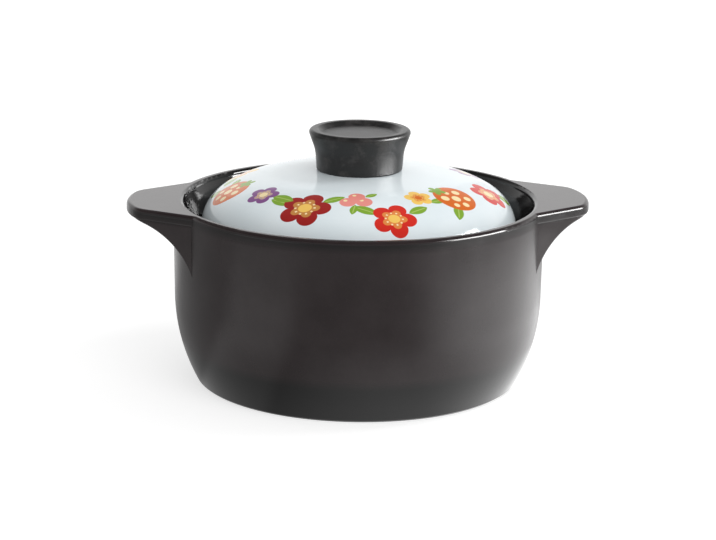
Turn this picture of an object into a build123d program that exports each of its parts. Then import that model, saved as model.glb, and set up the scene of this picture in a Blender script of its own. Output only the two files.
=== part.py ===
"""Lidded clay casserole: a round pot with two ear handles, and a domed lid with a flared knob.

Millimetres. The origin is the centre of the pot's foot, +Z is up, and the ears point along X.
The pot, the lid and the knob are turned shapes. Each ear is a lug whose top is flush with the rim.
"""

import os
from math import acos, cos, degrees, radians, sin, sqrt, tan

from build123d import *

os.makedirs("parts", exist_ok=True)

# Pot: outside. The lower wall is part of a ball that is centred on the axis, at the belly's height.
pot_height = 103.5
rim_radius = 105.0
wall_flare = 0.6
belly_height = 50.0
foot_rise = 1.0
foot_bevel = 1.2
foot_ring_width = 9.0
foot_recess = 1.5
lip_round = 2.3

# Pot: inside
rim_wall = 5.5
side_wall = 6.0
floor_thickness = 7.0
floor_round = 22.0

# Gallery: the sloping band inside the mouth, and the ledge that carries the lid
ledge_drop = 18.0
ledge_thickness = 5.0
ledge_underside_drop = 15.0
ledge_bevel = 1.0
gallery_slope_run = 5.6

# Ear handles
ear_reach = 26.0
ear_half_width = 44.0
ear_side_angle = 33.0
ear_tip_radius = 56.0
ear_corner_radius = 15.0
ear_flare_radius = 13.0
ear_plate = 6.0
ear_plate_round = 1.0
ear_web_inset = 1.2
ear_web_flare = 5.0
ear_web_round = 1.2
ear_root_drop = 36.0
ear_hollow_slope = 0.1
ear_embed = 5.0
ear_luting_depth = 0.8
ear_lip_overlap = 3.0

# Lid: three arcs from the edge to the crown, each ending at an angle above the horizontal
lid_edge_gap = 4.5
lid_edge_band = 1.4
lid_edge_bevel = 0.8
shoulder_radius = 24.8
shoulder_end = 61.0
haunch_radius = 76.0
haunch_end = 82.3
lid_wall = 5.0
inner_shoulder_start = 10.0
seat_width = 6.2
flange_width = 3.8
flange_depth = 7.5
flange_bevel = 1.0
flange_clearance = 1.2
vent_diameter = 6.5
vent_from_axis = 44.0

# Knob
knob_base_radius = 24.2
knob_neck_radius = 25.1
knob_neck_height = 11.3
knob_neck_round = 20.0
knob_top_radius = 29.4
knob_height = 23.2
knob_lip_round = 1.9
knob_lip_width = 5.4
knob_foot_bevel = 0.8
dish_depth = 2.3
dish_slope_run = 3.5
dish_round = 2.0

# Radii and heights that the pieces share, from the rim inwards and from the ledge upwards
wall_radius = rim_radius - wall_flare
mouth_radius = rim_radius - rim_wall
gallery_radius = mouth_radius - gallery_slope_run
lid_radius = gallery_radius - lid_edge_gap
ledge_height = pot_height - ledge_drop
flange_radius = lid_radius - seat_width
ledge_radius = flange_radius + flange_clearance
band_top = ledge_height + lid_edge_band

# The crown is part of a ball too. Its centre is on the axis, in line with the end of the haunch.
haunch_x = lid_radius - shoulder_radius - (haunch_radius - shoulder_radius) * cos(radians(shoulder_end))
haunch_z = band_top - (haunch_radius - shoulder_radius) * sin(radians(shoulder_end))
crown_radius = haunch_radius + haunch_x / cos(radians(haunch_end))
crown_z = haunch_z - haunch_x * tan(radians(haunch_end))
crown_height = crown_z + sqrt(crown_radius**2 - knob_base_radius**2)


def corner_at(face, x, y):
    """The corner of a flat face that lies nearest to a point."""
    return face.vertices().sort_by_distance((x, y, 0))[0]


def turned(outline, rounds, bevels):
    """A closed outline of radius and height, its listed corners eased, turned about the Z axis."""
    face = make_face(outline)
    for radius, height, amount in rounds:
        face = fillet(corner_at(face, radius, height), amount)
    for radius, height, amount in bevels:
        face = chamfer(corner_at(face, radius, height), amount)
    return Part() + revolve(Plane.XZ * face, Axis.Z)


# ---------------------------------------------------------------- pot body
def make_pot_body():
    """Foot ring, bellied wall, rounded lip, sloping gallery, ledge and cooking space in one turning."""
    foot_angle = degrees(acos((belly_height - foot_rise) / wall_radius)) - 90
    wall_foot = wall_radius * cos(radians(foot_angle))
    foot_radius = wall_foot - foot_bevel
    ring_radius = foot_radius - foot_ring_width
    ledge_bottom = ledge_height - ledge_thickness
    neck_height = ledge_bottom - ledge_underside_drop
    inner_radius = wall_radius - side_wall
    floor_angle = degrees(acos((belly_height - floor_thickness) / inner_radius)) - 90
    floor_radius = inner_radius * cos(radians(floor_angle))
    centre = (0, belly_height)

    outline = [
        Polyline(
            (0, foot_recess),
            (ring_radius - foot_recess, foot_recess),
            (ring_radius, 0),
            (foot_radius, 0),
            (wall_foot, foot_rise),
        ),
        CenterArc(centre, wall_radius, foot_angle, -foot_angle),
        Polyline(
            (wall_radius, belly_height),
            (rim_radius, pot_height),
            (mouth_radius, pot_height),
            (gallery_radius, ledge_height),
            (ledge_radius, ledge_height),
            (ledge_radius, ledge_bottom),
            (inner_radius, neck_height),
            (inner_radius, belly_height),
        ),
        CenterArc(centre, inner_radius, floor_angle, -floor_angle),
        Polyline((floor_radius, floor_thickness), (0, floor_thickness), (0, foot_recess)),
    ]
    rounds = [
        (rim_radius, pot_height, lip_round),
        (mouth_radius, pot_height, lip_round),
        (floor_radius, floor_thickness, floor_round),
    ]
    bevels = [
        (ledge_radius, ledge_height, ledge_bevel),
        (ledge_radius, ledge_bottom, ledge_bevel),
    ]
    return turned(outline, rounds, bevels)


# ---------------------------------------------------------------- ear handles
def ear_plan(inset, flare_radius):
    """Top view of one ear: a tongue with a broad tip, flaring into a disc just inside the wall."""
    tip = rim_radius + ear_reach - inset
    half_width = ear_half_width - inset
    root = sqrt(rim_radius**2 - ear_half_width**2)
    start = root - ear_embed
    start_half = half_width + ear_embed * tan(radians(ear_side_angle))
    end_half = half_width - (tip - root) * tan(radians(ear_side_angle))

    wedge = make_face(
        Polyline(
            (start, -start_half), (start, start_half), (tip, end_half), (tip, -end_half), close=True
        )
    )
    tip_circle = Pos(tip - ear_tip_radius, 0) * Rot(0, 0, 180) * Circle(ear_tip_radius)
    plan = (wedge & tip_circle) + Circle(rim_radius - ear_luting_depth)
    for side in (-1, 1):
        plan = fillet(corner_at(plan, tip, side * end_half), ear_corner_radius)
        plan = fillet(corner_at(plan, root, side * half_width), flare_radius)
    return plan


def ear_underside():
    """The space below an ear: its upper side is the hollow curve that the fingers hold."""
    tip = rim_radius + ear_reach
    root = sqrt(rim_radius**2 - ear_half_width**2)
    tip_height = pot_height - ear_plate
    root_height = pot_height - ear_root_drop
    low = root_height - ear_root_drop
    hollow = TangentArc((tip, tip_height), (root, root_height), tangent=(-1, -ear_hollow_slope))
    sides = Polyline(
        (root, root_height),
        (0, root_height),
        (0, low),
        (2 * tip, low),
        (2 * tip, tip_height),
        (tip, tip_height),
    )
    width = 4 * ear_half_width
    return Pos(0, width / 2, 0) * extrude(Plane.XZ * make_face([hollow, sides]), width)


def make_ear(pot_body):
    """The ear on the +X side: a rounded plate level with the rim, and a web under it."""
    rim_plane = Pos(0, 0, pot_height)
    plate = extrude(rim_plane * ear_plan(0, ear_flare_radius), -ear_plate)
    plate = fillet(plate.faces().sort_by(Axis.Z)[-1].edges(), lip_round)
    plate = fillet(plate.faces().sort_by(Axis.Z)[0].edges(), ear_plate_round)
    web_plane = Pos(0, 0, pot_height - ear_plate / 2)
    web = extrude(web_plane * ear_plan(ear_web_inset, ear_web_flare), -ear_root_drop)
    web -= ear_underside()
    hollow = web.faces().filter_by(GeomType.CYLINDER).filter_by(lambda face: face.normal_at().Z < 0)[0]
    ear = plate + fillet(hollow.edges().filter_by(GeomType.LINE, reverse=True), ear_web_round)
    ear -= Pos(0, 0, pot_height) * Cylinder(rim_radius - ear_lip_overlap, 4 * ear_root_drop)
    return Part() + (ear - pot_body)


# ---------------------------------------------------------------- lid
def dome_curves(inset, first_angle):
    """The lid's shell from its edge to the knob, set in by some of the wall, starting at an angle."""
    crown_end = degrees(acos(knob_base_radius / (crown_radius - inset)))
    shoulder = (lid_radius - shoulder_radius, band_top)
    return [
        CenterArc(shoulder, shoulder_radius - inset, first_angle, shoulder_end - first_angle),
        CenterArc((haunch_x, haunch_z), haunch_radius - inset, shoulder_end, haunch_end - shoulder_end),
        CenterArc((0, crown_z), crown_radius - inset, haunch_end, crown_end - haunch_end),
    ]


def make_lid_dome():
    """A dome with a rolled shoulder, a flat seat for the knob, a steam vent and a locating flange."""
    flange_inner = flange_radius - flange_width
    flange_bottom = ledge_height - flange_depth
    outer = dome_curves(0, 0)
    inner = dome_curves(lid_wall, inner_shoulder_start)
    inner_start = inner[0] @ 0
    inner_end = inner[-1] @ 1
    outline = [
        *outer,
        Polyline((knob_base_radius, crown_height), (0, crown_height), (0, inner_end.Y), inner_end),
        *inner,
        Polyline(
            inner_start,
            (flange_inner, ledge_height),
            (flange_inner, flange_bottom),
            (flange_radius, flange_bottom),
            (flange_radius, ledge_height),
            (lid_radius, ledge_height),
            (lid_radius, band_top),
        ),
    ]
    bevels = [
        (lid_radius, ledge_height, lid_edge_bevel),
        (flange_radius, flange_bottom, flange_bevel),
        (flange_inner, flange_bottom, flange_bevel),
    ]
    dome = turned(outline, [], bevels)
    return dome - Pos(0, vent_from_axis, crown_height) * Cylinder(vent_diameter / 2, 4 * lid_wall)


def make_lid_knob():
    """A knob that flares from its base to a rounded rim, with a shallow dish in its top."""
    top = crown_height + knob_height
    neck = crown_height + knob_neck_height
    dish_radius = knob_top_radius - knob_lip_width
    outline = Polyline(
        (0, crown_height),
        (knob_base_radius, crown_height),
        (knob_neck_radius, neck),
        (knob_top_radius, top),
        (dish_radius, top),
        (dish_radius - dish_slope_run, top - dish_depth),
        (0, top - dish_depth),
        close=True,
    )
    rounds = [
        (knob_neck_radius, neck, knob_neck_round),
        (knob_top_radius, top, knob_lip_round),
        (dish_radius, top, dish_round),
    ]
    return turned(outline, rounds, [(knob_base_radius, crown_height, knob_foot_bevel)])


# ---------------------------------------------------------------- the parts
pot_body = make_pot_body()
ear_right = make_ear(pot_body)
parts = {
    "pot_body": pot_body,
    "ear_handle_right": ear_right,
    "ear_handle_left": mirror(ear_right, about=Plane.YZ),
    "lid_dome": make_lid_dome(),
    "lid_knob": make_lid_knob(),
}
for name, part in parts.items():
    export_step(part, f"parts/{name}.step")
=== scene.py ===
"""Blender scene of a lidded casserole: satin charcoal pot, white lid with printed flowers, black knob.

Metres, in the frame of the CAD model: the origin is the centre of the pot's foot and +Z is up.
The object's materials work in millimetres, in the same frame.
"""

from math import cos, pi, radians, sin

import bpy
from mathutils import Matrix, Vector


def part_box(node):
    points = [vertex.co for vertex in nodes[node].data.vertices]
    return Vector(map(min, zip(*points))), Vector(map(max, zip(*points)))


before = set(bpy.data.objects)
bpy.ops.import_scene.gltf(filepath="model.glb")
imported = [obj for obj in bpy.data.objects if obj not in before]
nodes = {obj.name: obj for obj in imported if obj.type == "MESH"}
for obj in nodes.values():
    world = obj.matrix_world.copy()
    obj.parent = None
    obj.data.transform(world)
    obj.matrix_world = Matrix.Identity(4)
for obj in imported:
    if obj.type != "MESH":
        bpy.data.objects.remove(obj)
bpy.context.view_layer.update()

MM = 0.001

# Places that the materials need, in millimetres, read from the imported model
rim_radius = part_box("pot_body")[1].y / MM
rim_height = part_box("pot_body")[1].z / MM
knob_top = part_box("lid_knob")[1].z / MM
flange_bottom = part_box("lid_dome")[0].z / MM


def srgb(code):
    """A colour written as six hex digits, as the linear colour that a shader takes."""
    parts = [int(code[i:i + 2], 16) / 255 for i in (0, 2, 4)]
    return tuple(c / 12.92 if c <= 0.04045 else ((c + 0.055) / 1.055) ** 2.4 for c in parts) + (1.0,)


def grey(value):
    """A linear grey."""
    return (value, value, value, 1.0)


def from_front(azimuth, elevation=0.0):
    """The direction at these angles in degrees. Azimuth 0 is the front, and +X is at 90."""
    a, e = radians(azimuth), radians(elevation)
    return Vector((sin(a) * cos(e), -cos(a) * cos(e), sin(e)))


# ---------------------------------------------------------------- shader graphs
class Graph:
    """A node tree, with a short call for each node that the materials use."""

    def __init__(self, tree):
        self.tree = tree
        tree.nodes.clear()

    def node(self, kind, **settings):
        new = self.tree.nodes.new(kind)
        for name, value in settings.items():
            setattr(new, name, value)
        return new

    def feed(self, socket, value):
        """Links an input to the socket that it is given, or sets it to a constant."""
        if isinstance(value, bpy.types.NodeSocket):
            self.tree.links.new(value, socket)
        else:
            socket.default_value = value

    def output(self, kind, shader):
        """The tree's last node, a material's or a world's, fed by a shader."""
        self.feed(self.node(kind).inputs["Surface"], shader.outputs[0])

    def math(self, operation, a, b=0.0):
        new = self.node("ShaderNodeMath", operation=operation)
        self.feed(new.inputs[0], a)
        self.feed(new.inputs[1], b)
        return new.outputs[0]

    def plus(self, a, b):
        return self.math("ADD", a, b)

    def minus(self, a, b):
        return self.math("SUBTRACT", a, b)

    def times(self, a, b):
        return self.math("MULTIPLY", a, b)

    def absolute(self, a):
        return self.math("ABSOLUTE", a)

    def diagonal(self, a, b):
        """Length of the diagonal of a rectangle with sides a and b."""
        return self.math("SQRT", self.plus(self.times(a, a), self.times(b, b)))

    def ramp(self, value, low, high, to_low=0.0, to_high=1.0, curve="LINEAR"):
        """From to_low, where value is low, to to_high, where it is high, and level beyond them."""
        new = self.node("ShaderNodeMapRange", interpolation_type=curve)
        for socket, number in zip(new.inputs, (value, low, high, to_low, to_high)):
            self.feed(socket, number)
        return new.outputs[0]

    def blend(self, factor, a, b):
        """Number a where factor is 0, and number b where it is 1."""
        new = self.node("ShaderNodeMix", data_type="FLOAT")
        self.feed(new.inputs[0], factor)
        self.feed(new.inputs[2], a)
        self.feed(new.inputs[3], b)
        return new.outputs[0]

    def mix(self, factor, a, b):
        """Colour a where factor is 0, and colour b where it is 1."""
        new = self.node("ShaderNodeMix", data_type="RGBA")
        self.feed(new.inputs[0], factor)
        self.feed(new.inputs[6], a)
        self.feed(new.inputs[7], b)
        return new.outputs[2]

    def noise(self, point, scale, detail=3.0, roughness=0.5):
        """Soft noise from 0 to 1. scale is about how many waves it has in each unit of the point."""
        new = self.node("ShaderNodeTexNoise")
        self.feed(new.inputs["Vector"], point)
        for name, value in (("Scale", scale), ("Detail", detail), ("Roughness", roughness)):
            self.feed(new.inputs[name], value)
        return new.outputs[0]

    def xyz(self, vector):
        new = self.node("ShaderNodeSeparateXYZ")
        self.feed(new.inputs[0], vector)
        return new.outputs

    def upward(self, vector):
        """How far a vector reaches along Z: a point's height, or how much a normal faces up."""
        return self.xyz(vector)[2]

    def from_axis(self, point):
        """Distance from the Z axis."""
        x, y, _ = self.xyz(point)
        return self.diagonal(x, y)

    def unit(self, vector):
        """A vector's direction."""
        new = self.node("ShaderNodeVectorMath", operation="NORMALIZE")
        self.feed(new.inputs[0], vector)
        return new.outputs[0]

    def dot(self, a, b):
        new = self.node("ShaderNodeVectorMath", operation="DOT_PRODUCT")
        self.feed(new.inputs[0], a)
        self.feed(new.inputs[1], b)
        return new.outputs["Value"]

    def coordinate(self, name):
        """Object is the point that is shaded, Normal its normal, and Generated the direction in a world."""
        return self.node("ShaderNodeTexCoord").outputs[name]

    def point_in_mm(self):
        """The point in millimetres, in the frame of the CAD model at rest."""
        scaled = self.node("ShaderNodeVectorMath", operation="SCALE")
        self.feed(scaled.inputs[0], self.coordinate("Object"))
        scaled.inputs["Scale"].default_value = 1 / MM
        return scaled.outputs[0]

    def bump(self, height, distance, strength):
        new = self.node("ShaderNodeBump")
        new.inputs["Distance"].default_value = distance
        new.inputs["Strength"].default_value = strength
        self.feed(new.inputs["Height"], height)
        return new.outputs[0]

    def glazed(self, color, roughness, normal, ior):
        """The finished surface: one Principled shader, to the material's output."""
        shader = self.node("ShaderNodeBsdfPrincipled")
        self.feed(shader.inputs["Base Color"], color)
        self.feed(shader.inputs["Roughness"], roughness)
        self.feed(shader.inputs["Normal"], normal)
        shader.inputs["IOR"].default_value = ior
        self.output("ShaderNodeOutputMaterial", shader)


def new_material(name):
    """A material and its empty graph."""
    material = bpy.data.materials.new(name)
    material.use_nodes = True
    return material, Graph(material.node_tree)


def bare_clay(g, point, dark, pale):
    """The mottled colour of clay without glaze."""
    return g.mix(g.ramp(g.noise(point, 0.9, detail=5.0, roughness=0.7), 0.3, 0.7), dark, pale)


# ---------------------------------------------------------------- pot glaze
SATIN, PALE_SATIN, SATIN_FLECK = srgb("241B1C"), srgb("2E2627"), srgb("473D3D")
# The first black is a painted shade along the neck under the lip, the second the inside's own glaze
NECK_SHADE_BLACK, INSIDE_BLACK = srgb("0A0909"), srgb("0B0A0A")
POT_CLAY, PALE_POT_CLAY = srgb("8F7B66"), srgb("B39C82")
SATIN_ROUGHNESS = (0.20, 0.27)  # it varies between these
LIP_ROUGHNESS = 0.16
INSIDE_ROUGHNESS = 0.05
POT_CLAY_ROUGHNESS = 0.9
DARK_GLAZE_IOR = 1.47  # for the pot and the knob

NECK_DROP = 2.6  # from the rim down to the neck under the lip, where a painted shade darkens the glaze
NECK_SHADE_BELOW = 4.5  # how far below the neck the painted shade starts
NECK_SHADE_ABOVE = 1.4  # how far above the neck the painted shade ends, and the gloss of the lip is full
NECK_SHADE_DARKEST = 0.2  # how far above the neck the painted shade starts to thin out
NECK_SHADE_SHARE = 0.85  # how much of its black the painted shade shows at the neck
NECK_GROOVE = 6.0  # how deep the bump dips along the painted shade at the neck, against the glaze's own ripple
LIP_TO_GALLERY = 3.4  # how far inside the rim the outer glaze ends and the gloss of the inside starts
GLAZE_BLEND = 1.6  # the width over which one runs into the other
FOOT_GLAZE_LINE = 0.9  # the height below which the glaze on the foot's underside thins out
FOOT_BARE = 0.4  # the height below which it is bare clay


def pot_glaze():
    """Satin charcoal outside, glossier along the lip, with a painted shade along the neck under it, gloss
    black inside, bare clay under the foot.
    """
    material, g = new_material("pot_glaze_fired")
    point = g.point_in_mm()
    radius = g.from_axis(point)
    height = g.upward(point)
    facing_down = g.ramp(g.upward(g.coordinate("Normal")), -0.8, -0.95)
    neck = rim_height - NECK_DROP
    lip = neck + NECK_SHADE_ABOVE
    gallery = rim_radius - LIP_TO_GALLERY

    clouds = g.noise(point, 0.035, detail=4.0, roughness=0.55)
    flecks = g.noise(point, 1.9, detail=2.0, roughness=0.6)
    satin = g.mix(g.ramp(clouds, 0.35, 0.68), SATIN, PALE_SATIN)
    satin = g.mix(g.ramp(flecks, 0.62, 0.76, to_high=0.30), satin, SATIN_FLECK)
    # Painted shade: a dark band along the neck under the lip, in place of the shade and dark reflection in
    # that crease
    painted_neck_shade = g.times(g.ramp(height, neck - NECK_SHADE_BELOW, neck), g.ramp(height, lip, neck + NECK_SHADE_DARKEST))
    satin = g.mix(g.times(painted_neck_shade, NECK_SHADE_SHARE), satin, NECK_SHADE_BLACK)
    inside = g.ramp(radius, gallery, gallery - GLAZE_BLEND)
    color = g.mix(inside, satin, INSIDE_BLACK)
    bare = g.times(g.ramp(height, FOOT_GLAZE_LINE, FOOT_BARE), facing_down)
    color = g.mix(bare, color, bare_clay(g, point, POT_CLAY, PALE_POT_CLAY))

    roughness = g.ramp(g.noise(point, 0.06), 0.3, 0.7, *SATIN_ROUGHNESS)
    roughness = g.blend(g.ramp(height, neck, lip), roughness, LIP_ROUGHNESS)
    roughness = g.blend(inside, roughness, INSIDE_ROUGHNESS)
    roughness = g.blend(bare, roughness, POT_CLAY_ROUGHNESS)

    grain = g.times(g.noise(point, 3.2, detail=2.0), 0.30)
    skin = g.plus(g.noise(point, 0.35), grain)
    # The bump dips along the same band as the painted shade
    skin = g.minus(skin, g.times(painted_neck_shade, NECK_GROOVE))
    g.glazed(color, roughness, g.bump(skin, 0.05 * MM, strength=0.5), DARK_GLAZE_IOR)
    return material


# ---------------------------------------------------------------- knob glaze
KNOB_BLACK, KNOB_BLOOM, KNOB_FLECK = srgb("1B1A1A"), srgb("43403F"), srgb("4C4847")
KNOB_ROUGHNESS = (0.30, 0.46)  # it varies between these, and is rougher in the bloom
KNOB_RIM_ROUGHNESS = 0.32
KNOB_RIM_START = 3.2  # how far below the knob's top the even finish of its rim starts
KNOB_RIM_FULL = 1.6  # and how far below it that finish is full


def knob_glaze():
    """Matte black with a worn, cloudy bloom, and an even finish along the rim."""
    material, g = new_material("knob_glaze_fired")
    point = g.point_in_mm()
    rim = g.ramp(g.upward(point), knob_top - KNOB_RIM_START, knob_top - KNOB_RIM_FULL)

    bloom = g.noise(point, 0.11, detail=6.0, roughness=0.68)
    flecks = g.noise(point, 2.4, detail=2.0, roughness=0.6)
    color = g.mix(g.ramp(bloom, 0.50, 0.70, to_high=0.85), KNOB_BLACK, KNOB_BLOOM)
    color = g.mix(g.ramp(flecks, 0.62, 0.76, to_high=0.35), color, KNOB_FLECK)
    roughness = g.blend(rim, g.ramp(bloom, 0.35, 0.7, *KNOB_ROUGHNESS), KNOB_RIM_ROUGHNESS)

    skin = g.plus(g.noise(point, 1.3, detail=4.0, roughness=0.6), g.times(flecks, 0.4))
    g.glazed(color, roughness, g.bump(skin, 0.07 * MM, strength=0.5), DARK_GLAZE_IOR)
    return material


# ---------------------------------------------------------------- lid print
RED, DARK_RED, ORANGE, PINK = srgb("D22A1E"), srgb("9C1D1A"), srgb("D6681A"), srgb("E88F86")
PURPLE, GREEN, PALE_GREEN = srgb("83508A"), srgb("7FA632"), srgb("A9C263")
YELLOW, CREAM = srgb("F2C662"), srgb("F7E2AE")

PRINT_EDGE = 0.12  # a printed edge fades over this much on both sides
PRINT_DEPTH = 15.0  # how far along its normal a motif reaches, so that it stays on its own side
PRINT_FADE = 1.0  # the last stretch of that, in which it fades out
PETALS = 5
PETAL_POWER = 0.75  # under 1, petals are broad and the notches between them narrow
VEIN_EDGE = (0.45, 0.25)  # a leaf's vein fades in between these distances from its middle line
VEIN_END = (0.40, 0.34)  # and between these shares of the leaf's length from its middle
LARGE_BLOSSOM = 12  # blossoms over this radius have two leaves
SMALL_BLOSSOM = 9  # and up to this one, they have none


class Motif:
    """A place on the lid that a printed shape is drawn round, in millimetres across and up the dome."""

    def __init__(self, graph, point, angle, radius, turn):
        """angle is from the front of the pot, towards +X, and turn spins the shape, both in degrees."""
        above = radius * MM * from_front(angle)
        above.z = knob_top * MM
        _, place, normal, _ = nodes["lid_dome"].ray_cast(above, Vector((0, 0, -1)))
        across = from_front(angle + 90)
        up = normal.cross(across).normalized()
        local = Matrix((across, up, normal)).transposed() @ Matrix.Rotation(radians(turn), 3, "Z")
        mapping = graph.node("ShaderNodeMapping", vector_type="TEXTURE")
        graph.feed(mapping.inputs["Vector"], point)
        mapping.inputs["Location"].default_value = place / MM
        mapping.inputs["Rotation"].default_value = local.to_euler("XYZ")
        self.graph = graph
        self.u, self.v, depth = graph.xyz(mapping.outputs[0])
        self.near = graph.ramp(graph.absolute(depth), PRINT_DEPTH, PRINT_DEPTH - PRINT_FADE)
        self.far, self.way = self.polar(0.0, 0.0)

    def inside(self, distance, limit):
        """1 where distance is under limit, on the motif's own side of the lid, and 0 elsewhere."""
        g = self.graph
        return g.times(g.ramp(g.minus(distance, limit), PRINT_EDGE, -PRINT_EDGE), self.near)

    def offset(self, x, y):
        """How far across and up from a point of the motif."""
        return self.graph.minus(self.u, x), self.graph.minus(self.v, y)

    def polar(self, x, y):
        """(distance, direction) from a point of the motif."""
        u, v = self.offset(x, y)
        return self.graph.diagonal(u, v), self.graph.math("ARCTAN2", v, u)

    def disc(self, size, x=0.0, y=0.0):
        return self.inside(self.polar(x, y)[0] if x or y else self.far, size)

    def petals(self, size, notch=0.34, y=0.0):
        """A star of round petals. notch is how far its edge swings in between them, as a share of size."""
        g = self.graph
        far, way = self.polar(0.0, y) if y else (self.far, self.way)
        swing = g.absolute(g.math("COSINE", g.times(way, PETALS / 2)))
        edge = g.times(g.math("POWER", swing, PETAL_POWER), notch * size)
        return self.inside(far, g.plus(edge, (1 - notch) * size))

    def leaf(self, length, width, x, y, tilt):
        """A pointed leaf and its vein. It is what two equal circles share, and tilt is its direction."""
        g = self.graph
        c, s = cos(radians(tilt)), sin(radians(tilt))
        u, v = self.offset(x, y)
        along = g.plus(g.times(u, c), g.times(v, s))
        aside = g.absolute(g.minus(g.times(v, c), g.times(u, s)))
        circle_radius = (length ** 2 + width ** 2) / (4 * width)
        from_centre = g.diagonal(along, g.plus(aside, circle_radius - width / 2))
        blade = self.inside(from_centre, circle_radius)
        end, full = VEIN_END
        vein = g.times(g.ramp(aside, *VEIN_EDGE), g.ramp(g.absolute(along), end * length, full * length))
        return blade, g.times(vein, blade)


def sprig(motif, color, leaves):
    """Green leaves with a paler vein, each (length, width, x, y, direction)."""
    g = motif.graph
    for leaf in leaves:
        blade, vein = motif.leaf(*leaf)
        color = g.mix(vein, g.mix(blade, color, GREEN), PALE_GREEN)
    return color


def blossom_leaves(size):
    """Two leaves for a large blossom, one for a middling one, and none for a small one."""
    if size > LARGE_BLOSSOM:
        return ((15, 6.5, -15, 7, 150), (13, 6, 14, 9, 35))
    if size > SMALL_BLOSSOM:
        return ((15, 7, 14, -5, -20),)
    return ()


def blossom(size, petal, heart, seed):
    """A flower: petals, a paler inner star, a round heart and a ring of seeds, over its leaves."""

    def draw(motif, color):
        g = motif.graph
        color = sprig(motif, color, blossom_leaves(size))
        color = g.mix(motif.petals(size), color, petal)
        inner_star = g.times(motif.petals(0.58 * size, notch=0.5), 0.55)
        color = g.mix(inner_star, color, g.mix(0.72, petal, heart))
        color = g.mix(motif.disc(0.26 * size), color, heart)
        ring = motif.inside(g.absolute(g.minus(motif.far, 0.37 * size)), 0.045 * size)
        spokes = g.ramp(g.math("COSINE", g.times(motif.way, 2 * PETALS)), 0.35, 0.6)
        return g.mix(g.times(ring, spokes), color, seed)

    return draw


# Each spot's place across and up and its radius, as shares of the fruit's radius
FRUIT_SPOTS = ((-0.45, 0.30, 0.20), (0.10, 0.42, 0.13), (0.52, 0.12, 0.19), (-0.05, -0.10, 0.22),
               (-0.58, -0.32, 0.14), (0.42, -0.48, 0.17), (-0.16, -0.62, 0.16))


def spotted_fruit(size, skin):
    """A round fruit with pale spots, leaves and a small star of a stalk."""

    def draw(motif, color):
        g = motif.graph
        color = sprig(motif, color, ((13, 6, -13, -7, 205), (11, 5, -12, 6, 150)))
        color = g.mix(motif.disc(size), color, skin)
        for x, y, spot in FRUIT_SPOTS:
            color = g.mix(motif.disc(spot * size, x * size, y * size), color, CREAM)
        return g.mix(motif.petals(0.42 * size, notch=0.6, y=0.86 * size), color, GREEN)

    return draw


def berries(size, skin):
    """Three berries with a glint on each, over two leaves."""

    def draw(motif, color):
        g = motif.graph
        color = sprig(motif, color, ((9, 4.2, -1, -9, 260), (8, 4, 8, 7, 40)))
        for x, y in ((-0.95, -0.35), (0.95, -0.25), (0.05, 1.0)):
            color = g.mix(motif.disc(size, x * size, y * size), color, skin)
            color = g.mix(motif.disc(0.24 * size, (x - 0.3) * size, (y + 0.35) * size), color, CREAM)
        return color

    return draw


# Each motif's direction from the front, distance from the axis and turn. No two neighbours are alike.
GARLAND = (
    (-30, 70, 12, blossom(14.5, DARK_RED, YELLOW, CREAM)),
    (9, 76, -8, blossom(12.5, RED, YELLOW, CREAM)),
    (47, 66, 20, spotted_fruit(12.5, ORANGE)),
    (-58, 66, 30, blossom(9.5, PURPLE, CREAM, YELLOW)),
    (-7, 60, 0, berries(4.6, PINK)),
    (27, 60, 15, blossom(8.0, YELLOW, ORANGE, RED)),
    (72, 74, -15, blossom(12.0, RED, CREAM, YELLOW)),
    (-82, 74, 0, spotted_fruit(12.0, ORANGE)),
    (103, 64, 10, blossom(10.0, PURPLE, CREAM, YELLOW)),
    (131, 72, 0, spotted_fruit(13.0, DARK_RED)),
    (163, 66, 25, blossom(13.5, ORANGE, CREAM, YELLOW)),
    (192, 75, 0, berries(5.2, RED)),
    (215, 66, -20, blossom(13.5, RED, YELLOW, CREAM)),
    (248, 70, 10, blossom(11.0, YELLOW, ORANGE, RED)),
)
MOTIF_SOCKETS = (
    ("Point", "INPUT", "NodeSocketVector"),
    ("Under", "INPUT", "NodeSocketColor"),
    ("Over", "OUTPUT", "NodeSocketColor"),
)


def motif_group(angle, radius, turn, draw):
    """One motif as a node group, which takes a point and the colour under it there."""
    tree = bpy.data.node_groups.new("printed_motif", "ShaderNodeTree")
    for name, side, kind in MOTIF_SOCKETS:
        tree.interface.new_socket(name=name, in_out=side, socket_type=kind)
    g = Graph(tree)
    given = g.node("NodeGroupInput").outputs
    drawn = draw(Motif(g, given["Point"], angle, radius, turn), given["Under"])
    g.feed(g.node("NodeGroupOutput").inputs["Over"], drawn)
    return tree


def printed(g, point, color):
    """The garland over a colour. Each motif is a node group of its own, which keeps the trees small."""
    for entry in GARLAND:
        motif = g.node("ShaderNodeGroup", node_tree=motif_group(*entry))
        g.feed(motif.inputs["Point"], point)
        g.feed(motif.inputs["Under"], color)
        color = motif.outputs["Over"]
    return color


# ---------------------------------------------------------------- lid glaze
LID_WHITE, PALE_LID_WHITE, LID_FLECK = srgb("DEE8EC"), srgb("E6EEF1"), srgb("B9BDBB")
LID_CLAY, PALE_LID_CLAY = srgb("C9BBA6"), srgb("DCD0BD")
LID_ROUGHNESS = (0.07, 0.11)  # it varies between these
LID_CLAY_ROUGHNESS = 0.85
LID_IOR = 1.5
FLANGE_DEPTH = 7.5  # from the lid's seat down to the flange's lower end
SEAT_GLAZE_LINE = 0.4  # how far above the seat the glaze starts to thin out
SEAT_BARE = 0.1  # and how far above it the clay is bare


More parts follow.
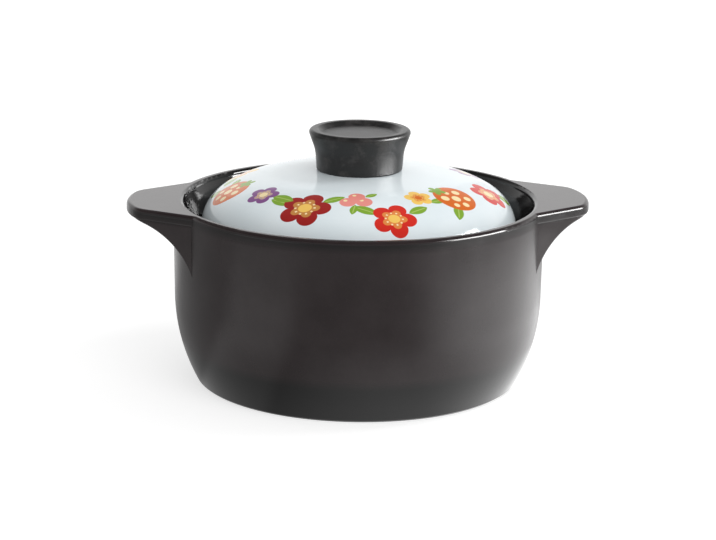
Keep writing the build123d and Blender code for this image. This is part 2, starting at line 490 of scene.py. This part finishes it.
def lid_glaze():
    """Bluish white gloss glaze over the print, with bare clay where the lid sits on the ledge."""
    material, g = new_material("lid_glaze_printed")
    point = g.point_in_mm()
    height = g.upward(point)
    facing_up = g.upward(g.coordinate("Normal"))
    seat = flange_bottom + FLANGE_DEPTH

    white = g.mix(g.ramp(g.noise(point, 0.03), 0.3, 0.7), LID_WHITE, PALE_LID_WHITE)
    flecks = g.noise(point, 3.1, detail=1.0)
    white = g.mix(g.ramp(flecks, 0.72, 0.80, to_high=0.25), white, LID_FLECK)
    outside = g.ramp(facing_up, 0.02, 0.06)
    color = g.mix(outside, white, printed(g, point, white))
    facing_down = g.ramp(facing_up, -0.5, -0.8)
    bare = g.times(g.ramp(height, seat + SEAT_GLAZE_LINE, seat + SEAT_BARE), facing_down)
    color = g.mix(bare, color, bare_clay(g, point, LID_CLAY, PALE_LID_CLAY))

    roughness = g.ramp(g.noise(point, 0.05, detail=2.0), 0.3, 0.7, *LID_ROUGHNESS)
    roughness = g.blend(bare, roughness, LID_CLAY_ROUGHNESS)
    ripple = g.times(g.noise(point, 1.2, detail=2.0), 0.12)
    skin = g.plus(g.noise(point, 0.12, detail=2.0), ripple)
    g.glazed(color, roughness, g.bump(skin, 0.08 * MM, strength=0.3), LID_IOR)
    return material


# ---------------------------------------------------------------- the model's surfaces
def dress(node_name, material):
    """Gives a CAD node this material on every slot."""
    for entry in nodes[node_name].material_slots:
        entry.material = material


pot_material = pot_glaze()
for name in ("pot_body", "ear_handle_left", "ear_handle_right"):
    dress(name, pot_material)
dress("lid_dome", lid_glaze())
dress("lid_knob", knob_glaze())


# ---------------------------------------------------------------- floor
FLOOR_RADIUS = 6.0
FLOOR_SIDES = 96
FLOOR_BELOW = 0.0001  # keeps the foot clear of the paper
PAPER, PAPER_IN_GLOSS = 0.5, 0.22
GLOW_TO_CAMERA = (0.66, 0.85)  # what the paper adds for the camera, near the pot and far from it
NEAR_POT, FAR_FROM_POT = 0.30, 1.2  # the distances from the pot's axis where it adds these

# Pools of light that gloss sees on the paper: azimuth, spread on both sides of it, and strength
RIGHT_POOL = (80, 64, 1.8)
LEFT_POOL = (-58, 24, 0.5)
FOOT_POOL = (40, 85, 0.75)
BACK_POOL = (180, 55, 0.6)
POOL_CORE = 0.97  # the cosine of the angle from its middle within which a pool is full
PAPER_GLOW = 0.23  # what gloss sees where there is no pool

# Distances from the pot's axis between which the pools change
SIDE_POOLS_RISE = (0.12, 0.20)
SIDE_POOLS_FALL = (0.34, 0.50)
FOOT_POOL_FALLS = (0.10, 0.24)


def pool(g, outward, azimuth, spread, strength):
    """One pool, where outward is the direction of a point on the floor."""
    towards = g.dot(outward, from_front(azimuth))
    return g.ramp(towards, cos(radians(spread)), POOL_CORE, to_high=strength, curve="SMOOTHSTEP")


def glow_to_gloss(g, point, radius):
    """The light on the paper as gloss sees it."""
    outward = g.unit(point)
    beside = g.plus(pool(g, outward, *RIGHT_POOL), pool(g, outward, *LEFT_POOL))
    beside = g.times(beside, g.ramp(radius, *SIDE_POOLS_RISE, to_low=0.35))
    beside = g.times(beside, g.ramp(radius, *SIDE_POOLS_FALL, to_low=1.0, to_high=0.15))
    near_axis = g.ramp(radius, *FOOT_POOL_FALLS, to_low=1.0, to_high=0.0)
    near_foot = g.times(pool(g, outward, *FOOT_POOL), near_axis)
    behind = g.plus(pool(g, outward, *BACK_POOL), PAPER_GLOW)
    return g.plus(g.plus(beside, near_foot), behind)


def paper_material():
    """White paper that the camera sees lit up to white, but for shadows, and gloss sees dimmer."""
    material, g = new_material("studio_paper")
    path = g.node("ShaderNodeLightPath").outputs
    gloss_ray = g.plus(path["Is Glossy Ray"], path["Is Transmission Ray"])
    paper = g.node("ShaderNodeBsdfDiffuse")
    g.feed(paper.inputs["Color"], g.mix(gloss_ray, grey(PAPER), grey(PAPER_IN_GLOSS)))

    point = g.coordinate("Object")
    radius = g.from_axis(point)
    to_camera = g.times(path["Is Camera Ray"], g.ramp(radius, NEAR_POT, FAR_FROM_POT, *GLOW_TO_CAMERA))
    to_gloss = g.times(gloss_ray, glow_to_gloss(g, point, radius))
    glow = g.node("ShaderNodeEmission")
    g.feed(glow.inputs["Strength"], g.plus(to_camera, to_gloss))
    both = g.node("ShaderNodeAddShader")
    g.feed(both.inputs[0], paper.outputs[0])
    g.feed(both.inputs[1], glow.outputs[0])
    g.output("ShaderNodeOutputMaterial", both)
    return material


def floor():
    """A wide round sheet of paper."""
    turns = [2 * pi * i / FLOOR_SIDES for i in range(FLOOR_SIDES)]
    ring = [(FLOOR_RADIUS * cos(turn), FLOOR_RADIUS * sin(turn), -FLOOR_BELOW) for turn in turns]
    mesh = bpy.data.meshes.new("studio_floor")
    mesh.from_pydata(ring, [], [range(FLOOR_SIDES)])
    mesh.materials.append(paper_material())
    disc = bpy.data.objects.new("studio_floor", mesh)
    bpy.context.scene.collection.objects.link(disc)


# ---------------------------------------------------------------- world and lamps
ROOM_BACK = Vector((0.50, 0.85, 0.15)).normalized()  # behind the pot and to its right
ROOM_LIGHT = (0.45, 0.90)  # at the front of the room, and at its back
ROOM_SPREAD = (-0.4, 0.75)  # the cosines of the angles from ROOM_BACK at which it has these
CEILING = (0.32, 0.60)  # the sines of the elevations at which the ceiling starts and is full
CEILING_IN_GLOSS = 0.25
LAMP_AIM = Vector((0, 0, 0.08))


def studio_world():
    """A room that is dimmer at the front, under a ceiling that gloss sees dark. The camera sees white."""
    world = bpy.data.worlds.new("studio")
    bpy.context.scene.world = world
    world.use_nodes = True
    g = Graph(world.node_tree)
    direction = g.coordinate("Generated")
    path = g.node("ShaderNodeLightPath").outputs
    room = g.ramp(g.dot(direction, ROOM_BACK), *ROOM_SPREAD, *ROOM_LIGHT)
    ceiling = g.ramp(g.upward(direction), *CEILING, to_low=1.0, to_high=CEILING_IN_GLOSS)
    room = g.times(room, g.blend(path["Is Glossy Ray"], 1.0, ceiling))
    background = g.node("ShaderNodeBackground")
    background.inputs["Color"].default_value = grey(1.0)
    g.feed(background.inputs["Strength"], g.blend(path["Is Camera Ray"], room, 1.0))
    g.output("ShaderNodeOutputWorld", background)


def softbox(name, toward, distance, size, radiance, in_gloss=True, in_matte=True):
    """A lamp of this width and height, in this direction from the pot and shining at it."""
    lamp = bpy.data.lights.new(name, "AREA")
    lamp.shape = "RECTANGLE"
    lamp.size, lamp.size_y = size
    lamp.energy = radiance * pi * lamp.size * lamp.size_y
    holder = bpy.data.objects.new(name, lamp)
    holder.location = LAMP_AIM + distance * toward
    holder.rotation_euler = toward.to_track_quat("Z", "Y").to_euler()
    holder.visible_camera = False
    holder.visible_glossy = in_gloss
    holder.visible_diffuse = in_matte
    bpy.context.scene.collection.objects.link(holder)


floor()
studio_world()
# The key and the fill don't show in gloss, as through a polariser. A low window makes the highlights.
softbox("key", from_front(95, 48), 1.2, (0.36, 0.36), 9.5, in_gloss=False)
softbox("front_fill", from_front(18, 38), 1.3, (0.9, 0.9), 2.4, in_gloss=False)
softbox("window", from_front(72, 15), 1.0, (0.8, 0.5), 26.0, in_matte=False)
softbox("back_wall", from_front(180, 12), 1.4, (0.9, 0.9), 0.25)


# ---------------------------------------------------------------- camera
CAMERA_AZIMUTH = -5.5
CAMERA_ELEVATION = 14.7
CAMERA_ROLL = 0.8
CAMERA_DISTANCE = 1.31
CAMERA_TARGET = Vector((0, 0, 0.061))
CAMERA_LENS = 115.36  # millimetres, as the sensor is
CAMERA_SENSOR = 36


def camera():
    """A long lens from the front, a little to the left and above, with the photograph's slight tilt."""
    back = from_front(CAMERA_AZIMUTH, CAMERA_ELEVATION)
    level = from_front(CAMERA_AZIMUTH + 90)
    upright = Matrix((level, back.cross(level), back)).transposed()
    turned = upright @ Matrix.Rotation(radians(CAMERA_ROLL), 3, "Z")
    data = bpy.data.cameras.new("camera")
    data.lens = CAMERA_LENS
    data.sensor_width = CAMERA_SENSOR
    holder = bpy.data.objects.new("camera", data)
    holder.matrix_world = Matrix.Translation(CAMERA_TARGET + CAMERA_DISTANCE * back) @ turned.to_4x4()
    bpy.context.scene.collection.objects.link(holder)
    bpy.context.scene.camera = holder


camera()
bpy.context.scene.view_settings.view_transform = "Standard"

bpy.context.view_layer.update()
